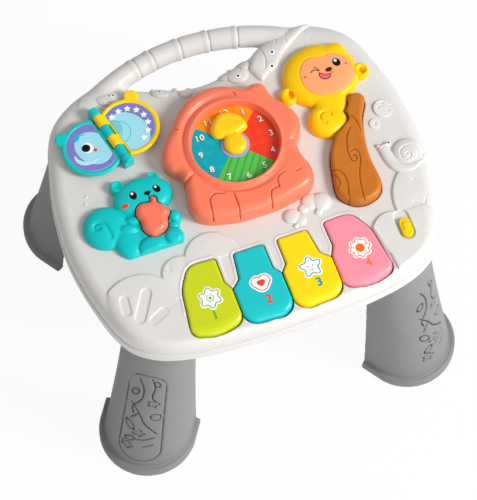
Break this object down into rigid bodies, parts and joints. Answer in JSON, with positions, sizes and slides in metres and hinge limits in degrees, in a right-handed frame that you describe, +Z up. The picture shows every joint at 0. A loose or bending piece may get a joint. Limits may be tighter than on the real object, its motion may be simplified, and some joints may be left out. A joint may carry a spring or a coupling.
{
  "type": "musical activity table",
  "caption": "Low play table for a child with a carrying handle, a clock, piano keys, a page book, a squirrel, a monkey and a switch on four C-shaped legs.",
  "frame": {"origin": "on the floor, under the middle of the outer box", "axes": "+X to the right of the child at the keys, +Y from the keys to the handle, +Z up"},
  "size_m": [0.373, 0.336, 0.2837],
  "materials": {
    "white_plastic": "satin",
    "grey_plastic": "satin",
    "coral_plastic": "satin",
    "teal_plastic": "satin",
    "yellow_plastic": "satin",
    "brown_plastic": "satin",
    "peach_plastic": "satin",
    "lime_plastic": "satin",
    "pink_plastic": "satin",
    "printed_film": "gloss",
    "lavender_plastic": "satin",
    "black_plastic": "satin",
    "rubber": "matte",
    "board": "satin",
    "steel": "satin",
    "battery_can": "satin"
  },
  "bodies": {
    "table": {"top_shell": "white_plastic", "bottom_shell": "white_plastic", "leg_front_left": "grey_plastic", "leg_front_right": "grey_plastic", "leg_back_left": "grey_plastic", "leg_back_right": "grey_plastic", "clock_housing": "coral_plastic", "dial_face": "printed_film", "hub_ring": "lavender_plastic", "squirrel": "teal_plastic", "acorn_dome": "rubber", "left_board": "board", "monkey": "yellow_plastic", "monkey_face": "peach_plastic", "trunk_pin": "steel", "trunk_dome": "rubber", "right_board": "board", "book_posts": "teal_plastic", "book_pin": "steel", "key_rod": "steel", "key_lime_dome": "rubber", "key_teal_dome": "rubber", "key_yellow_dome": "rubber", "key_pink_dome": "rubber", "circuit_board": "board", "slide_switch": "black_plastic", "speaker": "black_plastic", "battery_door": "white_plastic", "batteries": "battery_can", "battery_contacts": "steel", "door_screw": "steel", "shell_screws": "steel", "housing_screws": "steel", "board_screws": "steel"},
    "lime_key": {"key_lime": "lime_plastic"},
    "teal_key": {"key_teal": "teal_plastic"},
    "yellow_key": {"key_yellow": "yellow_plastic"},
    "pink_key": {"key_pink": "pink_plastic"},
    "acorn": {"acorn_button": "coral_plastic"},
    "trunk": {"tree_trunk": "brown_plastic"},
    "hand": {"clock_hand": "yellow_plastic", "rotor_disc": "black_plastic", "rotor_screw": "steel"},
    "page_on_left": {"left_page": "teal_plastic", "left_picture": "printed_film"},
    "page_on_right": {"right_page": "yellow_plastic", "right_picture": "printed_film"},
    "switch": {"switch_knob": "yellow_plastic"}
  },
  "joints": [
    {"name": "lime_key_press", "type": "hinge", "parent": "table", "child": "lime_key", "pos_m": [0.0024, -0.0695, 0.253], "axis": [1, 0, 0], "range_deg": [0, 2.3], "stiffness_Nm_per_rad": 2, "deforming": ["key_lime_dome"]},
    {"name": "teal_key_press", "type": "hinge", "parent": "table", "child": "teal_key", "pos_m": [0.0024, -0.0695, 0.253], "axis": [1, 0, 0], "range_deg": [0, 2.3], "stiffness_Nm_per_rad": 2, "deforming": ["key_teal_dome"]},
    {"name": "yellow_key_press", "type": "hinge", "parent": "table", "child": "yellow_key", "pos_m": [0.0024, -0.0695, 0.253], "axis": [1, 0, 0], "range_deg": [0, 2.3], "stiffness_Nm_per_rad": 2, "deforming": ["key_yellow_dome"]},
    {"name": "pink_key_press", "type": "hinge", "parent": "table", "child": "pink_key", "pos_m": [0.0024, -0.0695, 0.253], "axis": [1, 0, 0], "range_deg": [0, 2.3], "stiffness_Nm_per_rad": 2, "deforming": ["key_pink_dome"]},
    {"name": "acorn_press", "type": "slide", "parent": "table", "child": "acorn", "axis": [0, 0, -1], "range_m": [0, 0.003], "stiffness_N_per_m": 500, "deforming": ["acorn_dome"]},
    {"name": "trunk_press", "type": "hinge", "parent": "table", "child": "trunk", "pos_m": [0.124, 0.0215, 0.2535], "axis": [0.9563, -0.2924, 0], "range_deg": [0, 2.1], "stiffness_Nm_per_rad": 2, "deforming": ["trunk_dome"]},
    {"name": "hand_turn", "type": "hinge", "parent": "table", "child": "hand", "pos_m": [0.0049, 0.0191, 0.2785], "axis": [0, 0, -1], "continuous": true},
    {"name": "page_turn_left", "type": "hinge", "parent": "table", "child": "page_on_left", "pos_m": [-0.109, 0.1015, 0.2705], "axis": [-0.2351, 0.972, 0], "range_deg": [0, 178]},
    {"name": "page_turn_right", "type": "hinge", "parent": "table", "child": "page_on_right", "pos_m": [-0.109, 0.1015, 0.2705], "axis": [0.2351, -0.972, 0], "range_deg": [0, 178]},
    {"name": "switch_slide", "type": "slide", "parent": "table", "child": "switch", "axis": [0, 1, 0], "range_m": [0, 0.009]}
  ]
}
